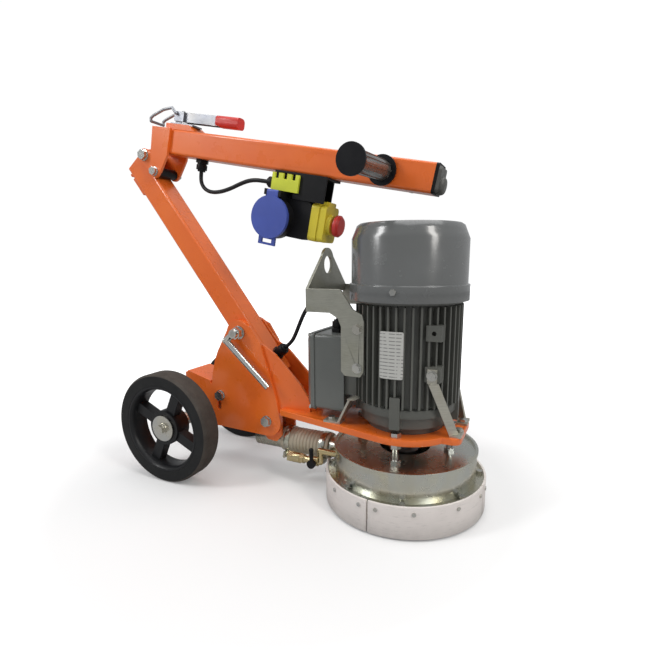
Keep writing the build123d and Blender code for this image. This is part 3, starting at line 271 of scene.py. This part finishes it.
def rating_plate_finish(name):
    """Pale foil with thin ruled lines and nothing written on it."""
    recipe = Recipe(name, roughness=0.42, metallic=0.15)
    wave = recipe.nodes.new("ShaderNodeTexWave")
    wave.bands_direction = "Z"
    wave.inputs["Scale"].default_value = 52
    wave.inputs["Distortion"].default_value = 0
    recipe.links.new(recipe.where, wave.inputs["Vector"])
    lines = recipe.ramp(wave.outputs["Fac"], (0.80, 0.0), (0.92, 0.75))
    gaps = recipe.ramp(recipe.noise(140, 2, vector=recipe.stretched((1, 1, 0.05))), (0.42, 0.0), (0.5, 1.0))
    ruled = recipe.mix(1.0, lines, gaps, "MULTIPLY")
    recipe.colour(recipe.mix(ruled, (0.58, 0.58, 0.55), (0.10, 0.10, 0.10)))
    return recipe.material


ORANGE, ORANGE_SHADE = (0.90, 0.180, 0.022), (0.84, 0.150, 0.019)
MATERIALS = {
    "orange_paint": painted("orange_paint", ORANGE, ORANGE_SHADE, 0.30, 0.4),
    "motor_grey": painted("motor_grey", (0.115, 0.118, 0.104), (0.090, 0.093, 0.084), 0.40, 0.1, 0.5),
    "cover_grey": painted("cover_grey", (0.135, 0.141, 0.141), (0.122, 0.127, 0.125), 0.22, 0.7, 0.10),
    "box_grey": painted("box_grey", (0.150, 0.160, 0.150), (0.130, 0.138, 0.130), 0.34, 0.2, 0.3),
    "raw_steel": raw_sheet("raw_steel", (0.40, 0.40, 0.345), 0.38),
    "stay_steel": raw_sheet("stay_steel", (0.50, 0.485, 0.42), 0.36),
    "zinc": zinc("zinc", (0.62, 0.61, 0.55), 0.24, 0.02),
    "bolt_zinc": zinc("bolt_zinc", (0.60, 0.59, 0.57), 0.24, 0.0),
    "latch_steel": zinc("latch_steel", (0.36, 0.36, 0.385), 0.42, 0.0),
    "bright_bar": zinc("bright_bar", (0.74, 0.74, 0.72), 0.20, 0.0),
    "white_skirt": worn_white("white_skirt"),
    "black_rim": moulded("black_rim", (0.010, 0.0105, 0.012), 0.36, 0.3, 500, dust=0.015,
                         specular=0.35),
    "tyre": moulded("tyre", (0.011, 0.0115, 0.012), 0.50, 0.3, 500, dust=0.02, specular=0.3),
    "tread": tread_rubber("tread"),
    "black_plastic": moulded("black_plastic", (0.007, 0.007, 0.008), 0.42, 0.3, 700, dust=0.012,
                             specular=0.25),
    "plug_grey": moulded("plug_grey", (0.10, 0.10, 0.092), 0.42, 0.3, 700, dust=0.06),
    "grip": moulded("grip", (0.006, 0.006, 0.008), 0.38, 0.3, 400, dust=0.01, specular=0.3),
    "grip_sleeve": moulded("grip_sleeve", (0.085, 0.075, 0.066), 0.26, 0.2, 400, coat=0.6, dust=0.04),
    "red": moulded("red", (0.62, 0.038, 0.030), 0.36, 0.15, dust=0.05),
    "blue": moulded("blue", (0.060, 0.098, 0.42), 0.46, 0.2, dust=0.03),
    "yellow": moulded("yellow", (0.80, 0.66, 0.045), 0.42, 0.2, dust=0.06),
    "lime": moulded("lime", (0.70, 0.76, 0.050), 0.42, 0.2, dust=0.04),
    "green": moulded("green", (0.03, 0.30, 0.09), 0.4, 0.15, dust=0.03),
    "brass": zinc("brass", (0.70, 0.58, 0.34), 0.24, 0.0),
    "hose": moulded("hose", (0.58, 0.52, 0.40), 0.5, 0.3, 260, dust=0.22),
    "cable": moulded("cable", (0.009, 0.010, 0.012), 0.45, 0.25, 600, dust=0.015, specular=0.3),
    "dark_steel": zinc("dark_steel", (0.28, 0.28, 0.28), 0.38, 0.0),
    "copper": zinc("copper", (0.62, 0.30, 0.16), 0.4, 0.0),
    "diamond": zinc("diamond", (0.32, 0.29, 0.24), 0.55, 0.0),
    "plate_foil": rating_plate_finish("plate_foil"),
}


# ------------------------------------------------------------------------------------------ cords
def cord_curve(name, points, diameter, body, node):
    data = bpy.data.curves.new(name, "CURVE")
    data.dimensions = "3D"
    data.bevel_depth = diameter / 2
    data.bevel_resolution = 6
    data.resolution_u = 16
    data.use_fill_caps = True
    spline = data.splines.new("NURBS")
    spline.points.add(len(points) - 1)
    for point, spot in zip(spline.points, points):
        point.co = (*spot, 1)
    spline.order_u = 3
    spline.use_endpoint_u = True
    curve = bpy.data.objects.new(name, data)
    bpy.context.scene.collection.objects.link(curve)
    curve.data.materials.append(MATERIALS["cable"])
    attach(curve, body)
    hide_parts(node)


LEAN, DROP = math.radians(37.0), math.radians(11.4)
HANDLE_ORIGIN = Vector((-561.666, 0, 710.196))
COLUMN_CLAMP = Vector((-350.0, 0, 306.0))


def on_handle(along, up, y=0.0):
    """Point from a distance along the folded handle and one above its middle line, in mm."""
    x = HANDLE_ORIGIN.x + along * math.cos(DROP) + up * math.sin(DROP)
    z = HANDLE_ORIGIN.z - along * math.sin(DROP) + up * math.cos(DROP)
    return place(x, y, z)


def on_column(front, up):
    """Point from a distance in front of the column's middle and one above the clamp bolt, in mm."""
    x = COLUMN_CLAMP.x + front * math.cos(LEAN) - up * math.sin(LEAN)
    z = COLUMN_CLAMP.z + front * math.sin(LEAN) + up * math.cos(LEAN)
    return place(x, 0, z)


CABLE = 8.0 * MM
cord_curve("switch_cable_line", [
    on_handle(115, -49), on_handle(115, -64), on_handle(122.5, -77, -1), on_handle(136, -84.5, -3),
    on_handle(155, -86.5, -6), on_handle(178, -82.5, -9), on_handle(204, -73, -12),
    on_handle(229, -60.5, -15), on_handle(250, -52, -17.5), on_handle(268, -48.6, -19.3),
    on_handle(284, -48, -20), on_handle(298, -48, -20),
], CABLE, "handle", "switch_cable")
cord_curve("motor_cable_line", [
    on_column(53, -78), on_column(71, -78), place(-235.5, -0.5, 306), place(-225, -1.5, 329),
    place(-213, -3, 352), place(-197, -5, 371), place(-175, -8.5, 382), place(-151, -12.5, 382),
    place(-134, -14, 364), place(-134, -14, 342)],
    CABLE, "head", "motor_cable")


# ------------------------------------------------------------------------------------------ CAD nodes
BEVEL_NODES = {  # edge rounding in mm, and the nodes that have it
    0.2: ("hose_clamps",),
    0.3: ("motor_fasteners", "hood_fasteners", "water_line"),
    0.4: ("motor_stays", "latch_lever", "lock_plate", "cable_glands", "handle_glands", "frame_bolts",
          "hinge_bolts", "clamp_lever", "tap_lever", "skirt_ring"),
    0.5: ("column_tube", "handle_tube", "motor_frame", "switch_bracket", "axle"),
    0.6: ("lifting_bracket", "terminal_box", "hood", "skirt_segments", "switch_housing"),
    0.7: ("gusset_plates", "side_plates", "hinge_ears", "hand_grips"),
    0.8: ("base_plate", "end_shields", "switch_body", "socket_lid", "wheel_left", "wheel_right",
          "end_cap", "fan_cover"),
    1.0: ("switch_flap", "stop_button"),
    1.2: ("terminal_lid", "tyre_left", "tyre_right"),
    2.0: ("latch_grip",),
}
BEVELS = {name: size for size, names in BEVEL_NODES.items() for name in names}
OTHER_FINISH = {"motor_stays": "stay_steel", "latch_lever": "latch_steel", "latch_base": "latch_steel",
                "latch_hook": "latch_steel", "clamp_lever": "bright_bar"}
SLOT_OF = {entry["node"]: entry["material_slot"] for entry in frame["record"]["subparts"]}


WELD_GAP = 0.00001
SHARP = math.radians(35)               # edges sharper than this are rounded


def finish_cad_nodes():
    """Gives every CAD node its material, welds its seams and rounds its edges with modifiers."""
    for name, node in NODES.items():
        node.data.materials.clear()
        node.data.materials.append(MATERIALS[OTHER_FINISH.get(name, SLOT_OF[name])])
        weld = node.modifiers.new("weld", "WELD")
        weld.merge_threshold = WELD_GAP
        if name in BEVELS:
            bevel = node.modifiers.new("round", "BEVEL")
            bevel.width = BEVELS[name] * MM
            bevel.segments = 2
            bevel.limit_method = "ANGLE"
            bevel.angle_limit = SHARP
            bevel.use_clamp_overlap = True
            bevel.harden_normals = False


finish_cad_nodes()


def second_finish(node_name, material, chosen):
    """Gives another material to the faces of a CAD node that the test picks, from centre and normal."""
    mesh = NODES[node_name].data
    mesh.materials.append(MATERIALS[material])
    for face in mesh.polygons:
        if chosen(face.center, face.normal):
            face.material_index = 1


AXLE = place(-470, 0, 115)
BAR_UP, BAR_TILT = 1.5, math.radians(3.0)
BAR_MIDDLE = on_handle(529, BAR_UP)
HANDLE_WAY = (on_handle(1, 0) - on_handle(0, 0)).normalized()
HANDLE_UP = (on_handle(0, 1) - on_handle(0, 0)).normalized()
BAR_SIDE = Vector((0, math.cos(BAR_TILT), 0)) + HANDLE_UP * math.sin(BAR_TILT)
TREAD_FROM = 0.112                     # the tread starts this far from the axle, in metres
SLEEVE_RADIUS, SLEEVE_REACH = 0.0185, 0.1625
PLUG_FROM = 0.6232                     # the plug's bumper starts this far along the handle


def on_tread(centre, normal):
    return abs(normal.y) < 0.85 and math.hypot(centre.x - AXLE.x, centre.z - AXLE.z) > TREAD_FROM


def on_sleeve(centre, normal):
    off = centre - BAR_MIDDLE
    along = off.dot(BAR_SIDE)
    near = (off - BAR_SIDE * along).length < SLEEVE_RADIUS and abs(along) < SLEEVE_REACH
    return near and abs(normal.dot(BAR_SIDE)) < 0.5


def on_plug(centre, normal):
    return (centre - on_handle(0, 0)).dot(HANDLE_WAY) > PLUG_FROM


second_finish("tyre_right", "tread", on_tread)
second_finish("tyre_left", "tread", on_tread)
second_finish("hand_grips", "grip_sleeve", on_sleeve)
second_finish("end_cap", "plug_grey", on_plug)


# ------------------------------------------------------------------------------------------ trim
def mesh_piece(name, build, material, body):
    data = bpy.data.meshes.new(name)
    mesh = bmesh.new()
    build(mesh)
    mesh.normal_update()
    mesh.to_mesh(data)
    mesh.free()
    piece = bpy.data.objects.new(name, data)
    bpy.context.scene.collection.objects.link(piece)
    data.materials.append(MATERIALS[material])
    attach(piece, body)


# rating plate, in mm
FOIL_RADIUS = 98.6                     # inside of its bend
FOIL_LOW, FOIL_HIGH = 259.0, 339.0
FOIL_HALF = 20.5                       # half its width
FOIL_CORNER, FOIL_THICK = 3.0, 0.6
FOIL_FOLDS = -0.6, -0.3, 0, 0.3, 0.6   # where it bends between its corners, as shares of half its width


def curved_foil(mesh):
    """Rating plate bent round the fins on the right side of the motor."""
    radius, low, high, half, corner = FOIL_RADIUS, FOIL_LOW, FOIL_HIGH, FOIL_HALF, FOIL_CORNER
    outline = []
    for x_sign, z_sign, start in ((1, 1, 0), (-1, 1, 90), (-1, -1, 180), (1, -1, 270)):
        for step in range(4):
            turn = math.radians(start + 30 * step)
            outline.append((x_sign * (half - corner) + corner * math.cos(turn),
                            (high - corner if z_sign > 0 else low + corner) + corner * math.sin(turn)))
    columns = sorted({round(x, 3) for x, _ in outline} | {half * share for share in FOIL_FOLDS})
    rows = []
    for x in columns:
        inset = max(0.0, abs(x) - (half - corner))
        drop = corner - math.sqrt(max(0.0, corner ** 2 - inset ** 2))
        turn = x / radius
        for skin in (0.0, FOIL_THICK):
            for z in (low + drop, high - drop):
                rows.append(mesh.verts.new(place((radius + skin) * math.sin(turn),
                                                 -(radius + skin) * math.cos(turn), z)))
    for index in range(len(columns) - 1):
        a, b = rows[4 * index:4 * index + 4], rows[4 * index + 4:4 * index + 8]
        for quad in ((a[2], b[2], b[3], a[3]), (a[0], a[1], b[1], b[0]), (a[1], a[3], b[3], b[1]),
                     (a[0], b[0], b[2], a[2])):
            mesh.faces.new(quad)
    first, last = rows[:4], rows[-4:]
    mesh.faces.new((first[0], first[2], first[3], first[1]))
    mesh.faces.new((last[0], last[1], last[3], last[2]))
    bmesh.ops.recalc_face_normals(mesh, faces=mesh.faces)


mesh_piece("rating_plate", curved_foil, "plate_foil", "head")


# ------------------------------------------------------------------------------------------ stage and light
def area_light(name, spot, target, size, power, colour=(1, 1, 1)):
    data = bpy.data.lights.new(name, "AREA")
    data.shape = "RECTANGLE"
    data.size, data.size_y = size
    data.energy = power
    data.color = colour
    light = bpy.data.objects.new(name, data)
    light.location = spot
    light.rotation_euler = (Vector(target) - Vector(spot)).to_track_quat("-Z", "Y").to_euler()
    bpy.context.scene.collection.objects.link(light)


def camera_only(nodes, links, seen, otherwise, output, socket):
    """Camera rays get one shader and all other rays another."""
    mix = nodes.new("ShaderNodeMixShader")
    links.new(nodes.new("ShaderNodeLightPath").outputs["Is Camera Ray"], mix.inputs["Fac"])
    links.new(otherwise, mix.inputs[1])
    links.new(seen, mix.inputs[2])
    links.new(mix.outputs["Shader"], output.inputs[socket])


FLOOR_SIZE, FLOOR_GAP = 14, 0.0004      # metres, and how far it lies under the wheels
FLOOR_GREY = 0.80
THROWN_BACK = 0.46, 0.50               # lowest and highest grey that other rays see
GLOW_REACH = 0.45, 1.3                 # from here out to here the floor fades to plain white
GLOW_STRENGTH = 0.14, 1.0
ROOM_STRENGTH, BACKDROP_STRENGTH = 0.42, 1.02


def studio_floor():
    """White floor that shows soft shadows and throws back less light than it shows."""
    bpy.ops.mesh.primitive_plane_add(size=FLOOR_SIZE, location=(0, 0, -FLOOR_GAP))
    floor = bpy.context.object
    floor.name = "studio_floor"
    recipe = Recipe("studio_floor", roughness=0.95, specular=0.05)
    recipe.colour(recipe.ramp(recipe.noise(3, 2), (0.3, THROWN_BACK[0]), (0.7, THROWN_BACK[1])))
    bright = recipe.nodes.new("ShaderNodeBsdfDiffuse")
    bright.inputs["Color"].default_value = (FLOOR_GREY, FLOOR_GREY, FLOOR_GREY, 1)
    glow = recipe.nodes.new("ShaderNodeEmission")
    distance = recipe.nodes.new("ShaderNodeVectorMath")
    distance.operation = "LENGTH"
    recipe.links.new(recipe.where, distance.inputs[0])
    far = recipe.nodes.new("ShaderNodeMapRange")
    for socket, value in zip(("From Min", "From Max", "To Min", "To Max"), (*GLOW_REACH, *GLOW_STRENGTH)):
        far.inputs[socket].default_value = value
    recipe.links.new(distance.outputs["Value"], far.inputs["Value"])
    recipe.links.new(far.outputs["Result"], glow.inputs["Strength"])
    lifted = recipe.nodes.new("ShaderNodeAddShader")
    recipe.links.new(bright.outputs["BSDF"], lifted.inputs[0])
    recipe.links.new(glow.outputs["Emission"], lifted.inputs[1])
    camera_only(recipe.nodes, recipe.links, lifted.outputs["Shader"], recipe.shader.outputs["BSDF"],
                recipe.nodes["Material Output"], "Surface")
    floor.data.materials.append(recipe.material)


def studio_world():
    """White behind the object, a dimmer grey room for light and reflections."""
    world = bpy.data.worlds.new("studio")
    world.use_nodes = True
    nodes, links = world.node_tree.nodes, world.node_tree.links
    room = nodes["Background"]
    room.inputs["Color"].default_value = (0.97, 0.98, 1, 1)
    room.inputs["Strength"].default_value = ROOM_STRENGTH
    backdrop = nodes.new("ShaderNodeBackground")
    backdrop.inputs["Color"].default_value = (1, 1, 1, 1)
    backdrop.inputs["Strength"].default_value = BACKDROP_STRENGTH
    camera_only(nodes, links, backdrop.outputs["Background"], room.outputs["Background"],
                nodes["World Output"], "Surface")
    bpy.context.scene.world = world


def make_stage():
    studio_floor()
    studio_world()
    middle = (0.15, 0, 0.4)
    window, window_watts, overhead_watts = (0.45, 1.1), 17, 34
    area_light("overhead", (0.3, 0.2, 2.6), middle, (2.4, 2.4), overhead_watts)
    area_light("window_left", (-1.35, -1.25, 1.75), middle, window, window_watts)
    area_light("window_right", (1.95, -0.85, 1.75), middle, window, window_watts, (1, 0.97, 0.93))
    bpy.context.scene.view_settings.view_transform = "Standard"


make_stage()
